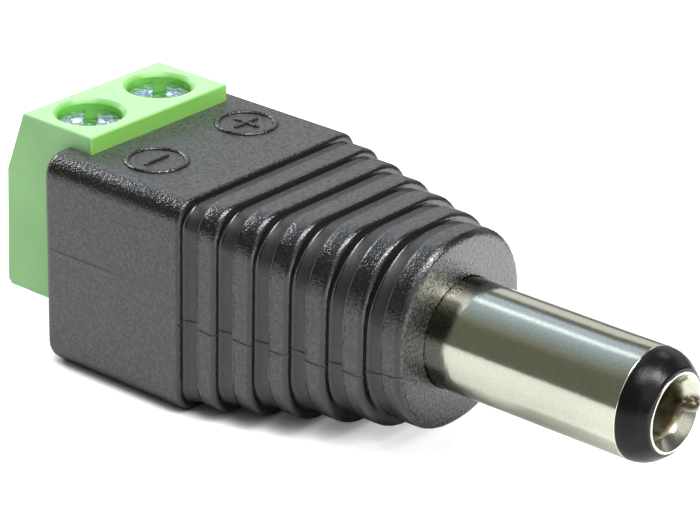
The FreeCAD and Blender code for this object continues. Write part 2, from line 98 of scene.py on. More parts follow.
class BodySizes(bpy.types.PropertyGroup):
    """Sizes of the moulded body."""
    width: length("Width", "Width of the block", 13.1)
    top: length("Top", "Top of the block above the axis", 5.05)
    bottom: length("Bottom", "Underside of the block below the axis", 6.15)
    rear: length("Rear", "Rear face behind the front face", 21.1)
    corner: length("Corner", "Radius of the block's long edges", 1.2)
    rear_edge: length("Rear edge", "Radius of the block's rear edges", 0.5)
    rib_step: length("Rib step", "From one rib to the next", 2.0)
    crest: length("Crest", "Length of a rib's crest", 1.18)
    groove: length("Groove", "Depth of the grooves", 0.35)
    front_width: length("Front width", "Width of the last rib", 9.2)
    front_top: length("Front top", "Top of the last rib above the axis", 5.0)
    front_bottom: length("Front bottom", "Underside of the last rib below the axis", 4.8)
    front_corner: length("Front corner", "Corner radius of the last rib", 4.3)
    front_edge: length("Front edge", "Radius round the front face", 0.4)
    crest_edge: length("Crest edge", "Radius of a crest's front edge", 0.24)
    crest_back: length("Crest back", "Radius of a crest's rear edge", 0.12)
    fine_edge: length("Fine edge", "Radius in a groove's corners", 0.10)


class MarkSizes(bpy.types.PropertyGroup):
    """Sizes of the raised signs on the body's top."""
    back: length("Back", "Centre of the rings behind the front face", 16.47)
    apart: length("Apart", "From the minus ring to the plus ring", 6.52)
    ring: length("Ring", "Outer radius of a ring", 1.64)
    bead: length("Bead", "Width of the raised bead", 0.32)
    proud: length("Proud", "Height of the bead", 0.14)
    bar: length("Bar", "Length of a sign's bar", 1.72)


class HousingSizes(bpy.types.PropertyGroup):
    """Sizes of the terminal housing."""
    pitch: length("Pitch", "Between the two poles", 5.0)
    edge: length("Edge", "Radius of the housing's edges", 0.1)
    thickness: length("Thickness", "Thickness of the plate", 1.6)
    ahead: length("Ahead", "Front of the plate ahead of the screws", 2.47)
    behind: length("Behind", "Rear of the plate behind the screws", 2.28)
    slope: length("Slope", "Foot of the slope below the plate's top", 3.28)
    lean: length("Lean", "Foot of the slope ahead of the rear face's foot", 0.15)
    lip: length("Lip", "Bevel at the rear face's foot", 0.25)
    well: length("Well", "Diameter of a screw well", 3.28)
    well_depth: length("Well depth", "Depth of a screw well", 1.59)
    web: length("Web", "Thickness of the web under a well", 0.8)
    shank: length("Shank", "Hole for the shank through the web", 2.66)
    floor: length("Floor", "Thickness of the floor under a cage", 0.9)
    sill: length("Sill", "Wire entry above the lowered cage's foot", 0.5)
    well_lead: length("Well lead", "Chamfer at the mouth of a well", 0.2)
    entry_width: length("Entry width", "Width of a wire entry", 3.2)
    entry_height: length("Entry height", "Height of a wire entry", 2.4)
    entry_corner: length("Entry corner", "Corner radius of a wire entry", 0.5)
    entry_lead: length("Entry lead", "Lead-in of a wire entry", 0.25)


class ScrewSizes(bpy.types.PropertyGroup):
    """Sizes of the clamp screws."""
    axis: length("Axis", "Screw axis behind the front face", 21.72)
    head: length("Head", "Diameter of the head", 3.1)
    head_height: length("Head height", "Height of the head", 1.1)
    slot: length("Slot", "Width of the slot", 0.7)
    slot_depth: length("Slot depth", "Depth of the slot", 0.6)
    thread: length("Thread", "Outside diameter of the thread", 2.5)
    thread_depth: length("Thread depth", "Depth of the thread", 0.27)
    pitch: length("Pitch", "Pitch of the thread", 0.45)


class BarrelSizes(bpy.types.PropertyGroup):
    """Sizes of the barrel."""
    diameter: length("Diameter", "Outside of the sleeve", 5.5)
    reach: length("Reach", "Sleeve ahead of the body", 10.83)
    wall: length("Wall", "Wall of the sleeve", 0.3)
    nose: length("Nose", "Insulating nose ahead of the sleeve", 1.4)
    tip: length("Tip", "Flare ahead of the nose", 0.06)
    core: length("Core", "Outside of the centre contact", 3.1)
    bore: length("Bore", "Bore of the centre contact", 2.5)
    flare: length("Flare", "Rim of the flare", 3.94)
    flare_depth: length("Flare depth", "Depth of the flare", 0.61)


class Finishes(bpy.types.PropertyGroup):
    """Colours of the finishes."""
    body: colour("Body", "Black moulding", 0.005, 0.005, 0.0052)
    # Also the colour of the painted top light and painted glint specks, and, made paler, of the painted
    # highlight on the crests' rear edges.
    dust_and_highlight: colour("Dust", "Grey bloom in its grain", 0.09, 0.09, 0.09)
    housing: colour("Housing", "Green terminal housing", 0.37, 0.72, 0.29)
    # Painted light: a more saturated green on the plate's front stands in for light coming through the
    # plastic.
    front_glow_green: colour("Housing front", "Deeper green of the plate's front", 0.33, 0.78, 0.155)
    # Painted shade: the deep green of the wells' walls stands in for shade in the screw wells.
    well: colour("Well", "Deep green of the screw wells' walls", 0.19, 0.60, 0.08)
    nickel: colour("Nickel", "Nickel plate with a warm tint", 0.80, 0.80, 0.66)
    nose: colour("Nose", "Black insulator", 0.006, 0.006, 0.007)
    zinc: colour("Zinc", "Zinc plate of the screws", 0.80, 0.90, 0.98)
    steel: colour("Steel", "Plated cages", 0.60, 0.60, 0.58)
    tin: colour("Tin", "Tinned contact bars and solder", 0.66, 0.66, 0.64)
    brass: colour("Brass", "Bare brass lugs", 0.72, 0.54, 0.22)
    board: colour("Board", "Phenolic washer", 0.20, 0.10, 0.04)


class Studio(bpy.types.PropertyGroup):
    """The floor, the room and the camera."""
    floor: share("Floor", "How much light the floor gives back", 0.82)
    glow: share("Glow", "Shadowless white of the floor, for the camera", 0.9)
    # Brightness of the painted pool of light on the floor's far side, seen in reflections.
    sheen: bpy.props.FloatProperty(name="Sheen", default=1.55, min=0.0,
                                   description="White of the floor's far side in reflections")
    room: share("Room", "Light from all round", 0.15)
    window: share("Window", "Light of the window behind, to the left", 1.0)
    lens: bpy.props.FloatProperty(name="Lens", description="Focal length of the camera", default=163.8,
                                  subtype="DISTANCE_CAMERA")


class PlugSettings(bpy.types.PropertyGroup):
    """All sizes, colours and settings of the barrel plug."""
    body: bpy.props.PointerProperty(type=BodySizes)
    marks: bpy.props.PointerProperty(type=MarkSizes)
    housing: bpy.props.PointerProperty(type=HousingSizes)
    screw: bpy.props.PointerProperty(type=ScrewSizes)
    barrel: bpy.props.PointerProperty(type=BarrelSizes)
    finish: bpy.props.PointerProperty(type=Finishes)
    studio: bpy.props.PointerProperty(type=Studio)


def settings():
    """The barrel plug's settings in the scene at hand."""
    return bpy.context.scene.barrel_plug


class Wire:
    """A number that a node gives out. Arithmetic on it adds Math nodes."""

    def __init__(self, board, socket):
        self.board = board
        self.socket = socket

    def beside(self, out):
        """Another output of the same node."""
        return Wire(self.board, self.socket.node.outputs[out])

    def math(self, operation, *others):
        """A Math node of that operation on this number and the others."""
        values = dict(enumerate((self,) + others))
        return self.board.node("Math", {"operation": operation}, values)

    def __add__(self, other):
        return self.math("ADD", other)

    __radd__ = __add__

    def __mul__(self, other):
        return self.math("MULTIPLY", other)

    __rmul__ = __mul__

    def __sub__(self, other):
        return self.math("SUBTRACT", other)

    def __rsub__(self, other):
        return self * -1 + other

    def __truediv__(self, other):
        return self.math("DIVIDE", other)

    def __pow__(self, other):
        return self.math("POWER", other)

    def __abs__(self):
        return self.math("ABSOLUTE")

    def ramp(self, low, high):
        """0 below low, 1 above high and a smooth rise between them."""
        return self.board.node("MapRange", {"interpolation_type": "SMOOTHSTEP"}, {0: self, 1: low, 2: high})


class Board:
    """The node tree of one material, or of the world."""

    def __init__(self, owner):
        owner.use_nodes = True
        self.owner = owner
        self.tree = owner.node_tree
        self.tree.nodes.clear()

    def node(self, kind, choices=None, sockets=None, out=0):
        """A shader node of that kind, with its settings made first, then its sockets' values or links."""
        node = self.tree.nodes.new("ShaderNode" + kind)
        for name, value in (choices or {}).items():
            setattr(node, name, value)
        for name, value in (sockets or {}).items():
            if isinstance(value, Wire):
                self.tree.links.new(value.socket, node.inputs[name])
            else:
                node.inputs[name].default_value = value
        return Wire(self, node.outputs[out]) if len(node.outputs) else None

    def axes(self, vector):
        """The three numbers of a vector."""
        x = self.node("SeparateXYZ", None, {0: vector})
        return x, x.beside(1), x.beside(2)

    def millimetres(self):
        """The three Object coordinates in millimetres."""
        return [axis * (1 / MM) for axis in self.axes(self.place)]

    def noise(self, scale, detail=2.0, roughness=0.5, stretch=None):
        """Soft noise of a number of waves in a metre. A stretch multiplies the three coordinates."""
        place = self.place
        if stretch:
            place = self.node("VectorMath", {"operation": "MULTIPLY"}, {0: place, 1: stretch})
        return self.node("TexNoise", None, {"Vector": place, "Scale": scale, "Detail": detail,
                                            "Roughness": roughness})

    def paint(self, base, *coats):
        """A colour under coats, each with how much of it covers, from 0 to 1, and its colour."""
        for factor, coat in coats:
            base = self.node("Mix", {"data_type": "RGBA"}, {0: factor, 6: base, 7: coat}, out=2)
        return base

    def bumps(self, *layers):
        """A normal bent by layers: a height from 0 to 1, the millimetres it stands for and a strength."""
        normal = None
        for height, depth, strength in layers:
            sockets = {"Height": height, "Distance": depth * MM, "Strength": strength}
            if normal:
                sockets["Normal"] = normal
            normal = self.node("Bump", None, sockets)
        return normal

    def mixed(self, factor, first, second):
        """From one shader to another."""
        return self.node("MixShader", None, {0: factor, 1: first, 2: second})

    def finish(self, shader, target="OutputMaterial"):
        """Makes a shader the tree's output and gives the tree's owner."""
        self.node(target, None, {"Surface": shader})
        return self.owner

    def surface(self, base, roughness, normal, more):
        """Makes a Principled shader the tree's output and gives the material."""
        sockets = {"Base Color": base, "Roughness": roughness, "Normal": normal, **more}
        return self.finish(self.node("BsdfPrincipled", None, sockets))


def new_finish(name):
    """The board of a new material, with its Object coordinates at hand."""
    board = Board(bpy.data.materials.new(name))
    board.place = board.node("TexCoord", out="Object")
    return board


def tone(value, factor):
    """A colour made lighter or darker."""
    return tuple(channel * factor for channel in value[:3]) + (1.0,)


def black_moulding():
    """Black moulded plastic. Its grain holds a grey bloom on flat faces and is weak on the ribs' edges and in
    the grooves; up-facing tops are painted lighter as painted top light. Pale specks are painted glints, the
    crests' rear edges get a painted highlight, and dark parting lines cross the sides."""
    look, size = settings().finish, settings().body
    board = new_finish("black_moulding")
    x, y, z = board.millimetres()
    grain = board.noise(12500.0, 1.0)
    leather = board.noise(7000.0, 1.0, stretch=(1.0, 1.0, 0.8))
    mottled = board.noise(5600.0, 1.0).ramp(0.35, 0.65)
    # Painted glints: sparse pale specks in the base colour stand in for the grain's tiny glints.
    glint_specks = board.noise(11000.0, 1.0).ramp(0.6, 0.7)
    flow = board.noise(260.0, 3.0, 0.55, (1.0, 1.0, 3.0))
    step = size.rib_step / MM
    start = 1 - size.crest / size.rib_step
    ribs = x.ramp(-step * RIBS - 0.1, -step * RIBS)
    along = ((x + step * RIBS) / step).math("FRACT")
    crest = along.ramp(start - 0.01, start + 0.01)
    last = x.ramp(-1.3, -1.2)
    front = x.ramp(-0.10, -0.04)
    side = abs(y).ramp(3.9, 4.1)
    wobble = board.noise(420.0, 1.0, stretch=(1.0, 0.0, 0.0)) * 0.4
    stroke = 0.45 + board.noise(900.0, 1.0, stretch=(1.0, 0.0, 0.0)).ramp(0.35, 0.6) * 0.55
    level = z + 1.24 + crest * 0.22 - last * 0.45 - wobble
    nick = abs(level).ramp(0.06, 0.025) * ribs * side * stroke
    seam = abs(z - 0.2).ramp(0.05, 0.02) * (1 - ribs) * side * x.ramp(-14.5, -17.5) * 0.45
    lines = nick + seam
    facing = board.axes(board.node("NewGeometry", out="Normal"))
    up = facing[2].ramp(0.9, 0.995)
    upright = abs(facing[1]).ramp(0.92, 0.985)
    trough = ribs * (1 - crest) * (1 - last) * along.ramp(0.04, 0.08)
    polished = along.ramp(0.87, 0.92) * 0.6 + along.ramp(start + 0.09, start + 0.05) * 0.75
    plain = 1 - ribs * (1 - front) * polished
    # Painted highlight: a thin light line along each crest's rear edge, in a paler dust colour, stands in for
    # the glint there.
    worn = abs(along - (start + 0.032)).ramp(0.03, 0.012) * ribs * flow.ramp(0.2, 0.6) * (1 - up)
    # Painted top light: besides the grey bloom of the grain, up-facing tops are painted lighter, and the
    # upright sides get a slight even lift.
    bloom = up * 0.45 + upright * 0.08 + mottled * plain * (up * 0.75 + front * 0.8 + upright * 0.45)
    base = board.paint(
        look.body, (bloom + glint_specks * plain * 0.3, look.dust_and_highlight), (worn * 0.9, tone(look.dust_and_highlight, 2.6)),
        (lines, tone(look.body, 0.05)))
    rough = 0.21 + up * 0.12 + trough * 0.25 - front * 0.07 + lines * 0.5
    rough = rough + (flow - 0.5) * 0.1 + (leather - 0.5) * 0.2
    normal = board.bumps((grain * plain, 0.045, 0.7), (leather * plain, 0.04, 0.5), (1 - lines, 0.12, 1.0))
    return board.surface(base, rough, normal, {"IOR": 1.78})


def green_plastic():
    """Green moulded plastic with a faint grain and the step of its mould at the foot of the slope. A painted
    sheen makes it paler on top; painted light makes it a deeper green on the plate's front, and painted shade
    a deeper green in the wells."""
    sizes = settings()
    look = sizes.finish
    board = new_finish("green_housing")
    x, y, z = board.millimetres()
    cloud = board.noise(350.0, 3.0)
    line = abs(z - 2.68).ramp(0.035, 0.01) * abs(y).ramp(4.8, 4.9)
    # Painted sheen: up-facing faces are painted paler, as for a lit top.
    up = board.axes(board.node("NewGeometry", out="Normal"))[2].ramp(0.95, 0.99)
    # Painted shade: near each screw the well walls are painted deep green.
    from_screw = (x + sizes.screw.axis / MM) ** 2 + (abs(y) - sizes.housing.pitch / MM / 2) ** 2
    pale_step, painted_top_sheen = (0.55, 0.8, 0.5, 1.0), (0.75, 0.95, 0.70, 1.0)
    base = board.paint(
        tone(look.housing, 0.94), (cloud.ramp(0.3, 0.8), tone(look.housing, 1.06)),
        # The plate's front gets painted light, a more saturated green.
        (line * 0.4, pale_step), (up * 0.35, painted_top_sheen), (x.ramp(-19.30, -19.26), look.front_glow_green),
        (from_screw.math("SQRT").ramp(1.80, 1.66), look.well))
    normal = board.bumps((board.noise(7000.0), 0.006, 0.5), (line, 0.02, 1.0))
    return board.surface(base, 0.36 + (cloud - 0.5) * 0.1, normal,
                         {"IOR": 1.5, "Subsurface Weight": 0.15, "Subsurface Radius": (0.4, 1.0, 0.3),
                          "Subsurface Scale": 0.4 * MM})


def nickel_plate(name="nickel_plate", roughness=0.13, shine=1.0, dents=0.010):
    """Nickel plate with a warm tint, fine turning lines round X and small pits. Where it leaves the body it
    is painted dark, a painted reflection and shade of the black body; it is tarnished in the bore and stained
    brown in the flare."""
    nickel = settings().finish.nickel
    board = new_finish(name)
    x, y, z = board.millimetres()
    turning = board.noise(9000.0, stretch=(1.0, 0.02, 0.02))
    mottle = board.noise(900.0, 4.0, 0.6)
    pits = board.noise(5200.0).ramp(0.66, 0.78)
    bore = (y ** 2 + z ** 2).math("SQRT").ramp(1.40, 1.27)
    stain = ((y - 1.55) ** 2 + (z + 0.15) ** 2).math("SQRT").ramp(0.55, 0.25)
    stain = stain * x.ramp(11.0, 11.2) * board.noise(4500.0, 3.0).ramp(0.15, 0.50)
    # Painted reflection and shade: near the body the sleeve is painted dark, as the black body mirrored
    # there, but not along its near edge or the bright streak above.
    unshaded = (y * -1).ramp(2.59, 2.71) + (y * -0.292 + z * 0.956).ramp(2.62, 2.72)
    root_shade = (x + (mottle - 0.5) * 0.9).ramp(1.4, 0.9) * (1 - unshaded * 0.95) * 0.85
    tarnish, brown, root_shade_colour = (0.22, 0.18, 0.10, 1.0), (0.045, 0.026, 0.014, 1.0), (0.08, 0.07, 0.04, 1.0)
    base = board.paint(
        tone(nickel, shine), (board.noise(180.0).ramp(0.3, 0.7), tone(nickel, 0.93 * shine)),
        (pits * 0.35, tone(nickel, 0.55)),
        (board.noise(9500.0, 1.0).ramp(0.35, 0.65) * 0.16, tone(nickel, 0.4)),
        (bore * mottle.ramp(0.3, 0.6), tarnish), (stain * 0.97, brown), (root_shade, root_shade_colour))
    rough = roughness + (mottle - 0.5) * 0.10 + pits * 0.12 + bore * 0.35 + stain * 0.3
    normal = board.bumps((turning, 0.004, 0.5), (mottle, dents, 0.5))
    return board.surface(base, rough, normal, {"Metallic": 1.0})


def nose_plastic():
    """Black satin plastic with fine turning scratches round X."""
    nose = settings().finish.nose
    board = new_finish("nose_plastic")
    scratches = board.noise(16000.0, stretch=(1.0, 0.03, 0.03))
    base = board.paint(tone(nose, 0.85), (board.noise(500.0).ramp(0.3, 0.7), tone(nose, 1.2)))
    normal = board.bumps((scratches, 0.02, 0.6), (board.noise(8000.0), 0.012, 0.5))
    return board.surface(base, 0.25 + (scratches - 0.5) * 0.2, normal, {"IOR": 1.34})


def zinc_plate():
    """Bright zinc plate with the crumpled facets of a pressed head and a dull stain."""
    zinc = settings().finish.zinc
    board = new_finish("zinc_plate")
    facets = board.node("TexVoronoi", None, {"Vector": board.place, "Scale": 2600.0})
    stain = board.noise(1500.0, 3.0).ramp(0.55, 0.72)
    base = board.paint(zinc, (stain * 0.5, tone(zinc, 0.45)))
    normal = board.bumps((facets, 0.12, 0.8), (board.noise(3200.0, 4.0, 0.65), 0.05, 0.8))
    return board.surface(base, 0.22 + stain * 0.2, normal, {"Metallic": 1.0})


def plain_metal(name, value, roughness, lines):
    """A metal with drawn lines of a given strength along X and a faint stain."""
    board = new_finish(name)
    stain = board.noise(700.0, 3.0)
    base = board.paint(value, (stain.ramp(0.45, 0.75), tone(value, 0.7)))
    drawn = board.noise(9000.0, stretch=(0.03, 1.0, 1.0))
    return board.surface(base, roughness + (stain - 0.5) * 0.2, board.bumps((drawn, 0.006, lines)),
                         {"Metallic": 1.0})


def washer_board():
    """Brown phenolic board with its paper's fibres."""
    brown = settings().finish.board
    board = new_finish("washer_board")
    fibre = board.noise(1800.0, 3.0, stretch=(6.0, 1.0, 1.0))
    base = board.paint(tone(brown, 0.7), (fibre, tone(brown, 1.2)))
    return board.surface(base, 0.55, board.bumps((fibre, 0.01, 0.5)), {})


def skin(rings, ends=(True, True), looped=False):
    """Points and faces of a tube of rings, an array of rings by points by three. Each ring closes on itself
    and joins the next one. An end that is asked for gets a fan. A loop also joins its last to its first."""
    count, around = rings.shape[:2]
    points = rings.reshape(-1, 3)
    row = np.arange(count if looped else count - 1)[:, None]
    row, after = row * around, (row + 1) % count * around
    here = np.arange(around)[None, :]
    following = (here + 1) % around
    faces = np.stack([row + here, row + following, after + following, after + here], -1)
    faces = faces.reshape(-1, 4).tolist()
    for asked, first, order in ((ends[0], 0, 1), (ends[1], (count - 1) * around, -1)):
        if asked and not looped:
            hub = len(points)
            points = np.vstack([points, points[first:first + around].mean(0)])
            fan = np.stack([np.full(around, hub), first + following[0], first + here[0]], -1)
            faces += fan[:, ::order].tolist()
    return points, faces


def capped(rings):
    """Points and faces of a tube of rings with one flat face at each end."""
    points, faces = skin(rings, ends=(False, False))
    around = rings.shape[1]
    return points, faces + [list(range(around))[::-1], list(range(len(points) - around, len(points)))]


def join(parts):
    """Several (points, faces) as one."""
    points, faces = [], []
    for part_points, part_faces in parts:
        start = sum(len(p) for p in points)
        faces += [[index + start for index in face] for face in part_faces]
        points.append(part_points)
    return np.vstack(points), faces


def placed(name, data):
    """A new object of that data in the scene."""
    piece = bpy.data.objects.new(name, data)
    bpy.context.scene.collection.objects.link(piece)
    return piece


def mesh_object(name, points, faces, material=None):
    """A mesh object of those points, in metres, turned so that its faces point outwards."""
    mesh = bpy.data.meshes.new(name)
    mesh.from_pydata(np.asarray(points, dtype=float).tolist(), [], faces)
    mesh.update()
    mesh.calc_loop_triangles()
    corners = np.empty(len(mesh.loop_triangles) * 3, dtype=np.int32)
    mesh.loop_triangles.foreach_get("vertices", corners)
    a, b, c = (np.asarray(points)[corners.reshape(-1, 3)[:, side]] for side in range(3))
    if np.einsum("ij,ij->i", a, np.cross(b, c)).sum() < 0:
        mesh.flip_normals()
    if material:
        mesh.materials.append(material)
    return placed(name, mesh)


def carve(piece, cutters):
    """Cuts the cutters' shapes out of a piece and deletes the cutters."""
    for cutter in cutters:
        modifier = piece.modifiers.new("cut", "BOOLEAN")
        modifier.object = cutter
        modifier.operation = "DIFFERENCE"
        modifier.solver = "EXACT"
    bpy.context.view_layer.update()
    solid = piece.evaluated_get(bpy.context.evaluated_depsgraph_get())
    mesh = bpy.data.meshes.new_from_object(solid)
    if not len(mesh.polygons):
        raise RuntimeError(f"cutting {piece.name} left nothing")
    piece.modifiers.clear()
    piece.data = mesh
    for cutter in cutters:
        bpy.data.objects.remove(cutter)


def settle(piece, body, nodes=(), angle=32.0):
    """Hangs a finished piece on its body and hides the nodes it stands for. Its shading is smooth. Given an
    angle in degrees, edges past it are sharp and flat faces stay flat."""
    piece.data.shade_smooth()
    if angle:
        piece.data.set_sharp_from_angle(angle=math.radians(angle))
        weighted = piece.modifiers.new("flats", "WEIGHTED_NORMAL")
        weighted.keep_sharp = True
        weighted.weight = 60
    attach(piece, body)
    if nodes:
        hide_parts(*nodes)


def rounded_section(half, top, bottom, radius, steps=10, flats=4):
    """Points round a rectangle with round corners, a ring for each entry of the four arrays: a quarter
    circle at each corner, and evenly spread points between corners."""
    half, top, bottom, radius = (np.asarray(row, dtype=float).reshape(-1, 1)
                                 for row in (half, top, bottom, radius))
    quarter = np.linspace(0.0, math.pi / 2, steps + 1)[None, :]
    parts = []
    corners = ((1, 1, 0.0), (-1, 1, math.pi / 2), (-1, -1, math.pi), (1, -1, 1.5 * math.pi))
    for side, up, turn in corners:
        level = top if up > 0 else -bottom
        y = side * (half - radius) + radius * np.cos(quarter + turn)
        z = level - up * radius + radius * np.sin(quarter + turn)
        parts.append(np.stack([y, z], -1))
    whole = []
    for index, part in enumerate(parts):
        following = parts[(index + 1) % 4][:, :1]
        blend = np.linspace(0.0, 1.0, flats + 1)[1:-1].reshape(1, -1, 1)
        whole += [part, part[:, -1:] * (1 - blend) + following * blend]
    return np.concatenate(whole, axis=1)


def arcs(start, corner, end, bend, steps):
    """Points along an arc from each start to each end, pulled toward its corner by its share of bend."""
    t = np.linspace(0.0, 1.0, steps + 1).reshape(1, -1, 1)
    first, middle, last = (1 - t) ** 2, 2 * bend * t * (1 - t), t ** 2
    curve = first * start[:, None] + middle * corner[:, None] + last * end[:, None]
    return (curve / (first + middle + last)).reshape(-1, corner.shape[1])


def eased(nodes, steps=5):
    """A run through nodes of several numbers each. The last number says how far before and after the node a
    circle-like arc rounds its corner, and 0 keeps the corner sharp."""
    nodes = np.asarray(nodes, dtype=float)
    nodes, reach = nodes[:, :-1], nodes[:, -1]

    def toward(other):
        gap = np.linalg.norm((other - nodes)[:, :2], axis=1)
        cut = np.where(gap > 0, np.minimum(reach / np.maximum(gap, 1e-12), 0.8), 0.0)
        return nodes + (other - nodes) * cut[:, None]

    start, end = toward(np.vstack([nodes[:1], nodes[:-1]])), toward(np.vstack([nodes[1:], nodes[-1:]]))
    run = arcs(start, nodes, end, math.sqrt(0.5), steps)
    return run[np.r_[True, np.linalg.norm(np.diff(run, axis=0), axis=1) > 1e-9]]


def spread(profile, step):
    """A profile with long straights divided so that no part is longer than a step."""
    gap = np.linalg.norm(np.diff(profile, axis=0), axis=1)
    along = np.r_[0.0, np.cumsum(gap)]
    extra = np.concatenate([np.linspace(a, b, max(int(math.ceil((b - a) / step)), 1), endpoint=False)
                            for a, b in zip(along[:-1], along[1:])] + [along[-1:]])
    return np.stack([np.interp(extra, along, profile[:, column]) for column in range(profile.shape[1])], -1)


def circle(count):
    """Angles evenly spread round a circle, as a row."""
    return np.linspace(0.0, 2 * math.pi, count, endpoint=False)[None, :]


def turned(profile, around=96, centre=(0.0, 0.0), axis="x"):
    """Rings of a solid of revolution: each (along, radius) of the profile is a circle round the axis."""
    angle = circle(around)
    along = profile[:, :1] + 0 * angle
    across = profile[:, 1:2] * np.cos(angle) + centre[0]
    up = profile[:, 1:2] * np.sin(angle) + centre[1]
    order = (along, across, up) if axis == "x" else (across, up, along)
    return np.stack(order, -1)


def offset_outline(corners, inset, radius, steps=5):
    """A closed outline moved inwards by an inset, with round corners. Every side moves along its own
    normal, and two neighbours meet again where their lines cross."""
    corners = np.asarray(corners, dtype=float)
    side = np.roll(corners, -1, axis=0) - corners
    side = side / np.linalg.norm(side, axis=1, keepdims=True)
    inward = np.stack([-side[:, 1], side[:, 0]], -1)
    before, before_in = np.roll(side, 1, axis=0), np.roll(inward, 1, axis=0)
    turn = before[:, 0] * side[:, 1] - before[:, 1] * side[:, 0]
    gap = inset * (inward - before_in)
    slide = (gap[:, 0] * side[:, 1] - gap[:, 1] * side[:, 0]) / turn
    moved = corners + inset * before_in + before * slide[:, None]
    half_turn = np.arctan2(turn, (before * side).sum(1)) / 2
    cut = (max(radius - inset, 0.1 * radius) * np.abs(np.tan(half_turn)))[:, None]
    bend = np.abs(np.cos(half_turn)).reshape(-1, 1, 1)
    return arcs(moved - before * cut, moved, moved + side * cut, bend, steps)


def body_rings(size):
    """Rings of the moulded body from rear to front. Each is a rounded section whose width, top, bottom and
    corner run evenly from the block to the front. Crests stand on it and grooves lie inside it."""
    ribs = size.rib_step * RIBS

    def section(x, part, inset, edge, tighter=0.0):
        half = size.width / 2 + (size.front_width / 2 - size.width / 2) * part - inset
        top = size.top + (size.front_top - size.top) * part - inset
        bottom = size.bottom + (size.front_bottom - size.bottom) * part - inset
        corner = size.corner + (size.front_corner - size.corner) * part
        return [x, half, top, bottom, corner - tighter, edge]

    def groove_floor(x):
        return section(x, (x + ribs) / (ribs - size.crest / 2), size.groove, size.fine_edge)

    rear_inset, front_inset = size.rear_edge * 2, size.front_edge * 2
    nodes = [
        section(-size.rear, 0.0, rear_inset, 0.0, rear_inset),
        section(-size.rear, 0.0, 0.0, size.rear_edge), section(-ribs, 0.0, 0.0, size.crest_edge),
        groove_floor(-ribs)]
    for rib in range(1, RIBS + 1):
        front = -ribs + size.rib_step * rib
        rear = front - size.crest
        edge = size.crest_edge if rib < RIBS else size.front_edge
        nodes += [groove_floor(rear), section(rear, rib / RIBS, 0.0, size.crest_back),
                  section(front, rib / RIBS, 0.0, edge)]
        if rib < RIBS:
            nodes.append(groove_floor(front))
    nodes.append(section(0.0, 1.0, front_inset, 0.0, front_inset))
    run = eased(nodes)
    ring = rounded_section(run[:, 1], run[:, 2], run[:, 3], run[:, 4])
    x = run[:, :1] + 0 * ring[:, :, 0]
    return np.concatenate([x[:, :, None], ring], -1)


class BARRELPLUG_OT_body(bpy.types.Operator):
    """Builds the moulded body: block, ribs, front face and the seat of the housing"""
    bl_idname = "barrel_plug.body"
    bl_label = "Moulded body"

    def execute(self, context):
        outside = body_rings(settings().body)
        socket = settings().barrel.diameter / 2 + 0.02 * MM
        lead, depth = 0.06 * MM, 0.33 * MM
        last = outside[-1]
        angle = np.arctan2(last[:, 2], last[:, 1])
        around = np.stack([0 * angle, np.cos(angle), np.sin(angle)], -1)
        quarter = np.linspace(0.0, math.pi / 2, 5).reshape(-1, 1, 1)
        mouth = (socket + lead * (1 - np.sin(quarter))) * around[None]
        mouth = mouth - np.array([lead, 0.0, 0.0]) * (1 - np.cos(quarter))
        blend = np.linspace(0.0, 1.0, 9)[1:-1].reshape(-1, 1, 1)
        face = last[None] * (1 - blend) + mouth[:1] * blend
        inner = mouth[-1:] - np.array([depth, 0.0, 0.0])
        points, faces = skin(np.concatenate([outside, face, mouth, inner]))
        piece = mesh_object("moulded_body_skin", points, faces, black_moulding())
        low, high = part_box("terminal_housing")
        rear, above = low[0] - 2 * MM, high[2] + 2 * MM
        plate = settings().housing
        shoulder = high[2] - plate.thickness
        front = plate.ahead - settings().screw.axis
        seat = np.array([
            (rear, low[2]), (high[0], low[2]), (high[0], shoulder), (front, shoulder), (front, above),
            (rear, above)])
        seat = np.stack([np.insert(seat, 1, y, axis=1) for y in (low[1], high[1])])
        carve(piece, [mesh_object("seat", *capped(seat))])
        settle(piece, "body", ["moulded_body"])
        return {"FINISHED"}


def bead_ring(centre, radius, width, height, level):
    """Rings of a raised ring: an ellipse of the bead's width and height carried round a circle."""
    turn = circle(96).T
    reach = radius + width * np.cos(circle(20))
    z = level + height * np.sin(circle(20)) + 0 * turn
    return np.stack([centre[0] + reach * np.cos(turn), centre[1] + reach * np.sin(turn), z], -1)


def bead_bar(centre, turn, half, width, height, level):
    """Rings of a raised bar: an ellipse carried along a line, shrinking as a circle does at each end."""
    along = half * np.sin(np.linspace(-math.pi / 2, math.pi / 2, 33))[:, None]
    past = np.maximum(np.abs(along) - (half - width), 0.0) / width
    swell = np.sqrt(np.maximum(1.0 - past ** 2, 1e-4))
    across = width * swell * np.cos(circle(20))
    x = centre[0] + along * math.cos(turn) - across * math.sin(turn)
    y = centre[1] + along * math.sin(turn) + across * math.cos(turn)
    return np.stack([x, y, level + height * swell * np.sin(circle(20))], -1)


class BARRELPLUG_OT_marks(bpy.types.Operator):
    """Builds the raised minus and plus signs in their rings"""
    bl_idname = "barrel_plug.marks"
    bl_label = "Polarity marks"

    def execute(self, context):
        size = settings().marks
        top = settings().body.top
        finish = bpy.data.objects["moulded_body_skin"].data.materials[0]
        for pole, side in POLES:
            centre = (-size.back, size.apart / 2 * side)
            turns = [0.5] if side < 0 else [0.0, 0.5]
            ring = bead_ring(centre, size.ring - size.bead / 2, size.bead / 2, size.proud, top)
            parts = [skin(ring, looped=True)]
            parts += [skin(bead_bar(centre, turn * math.pi, size.bar / 2, size.bead * 0.4, size.proud, top))
                      for turn in turns]
            points, faces = join(parts)
            piece = mesh_object(f"mark_{pole}", points, faces, finish)
            settle(piece, "body", angle=None)
        return {"FINISHED"}


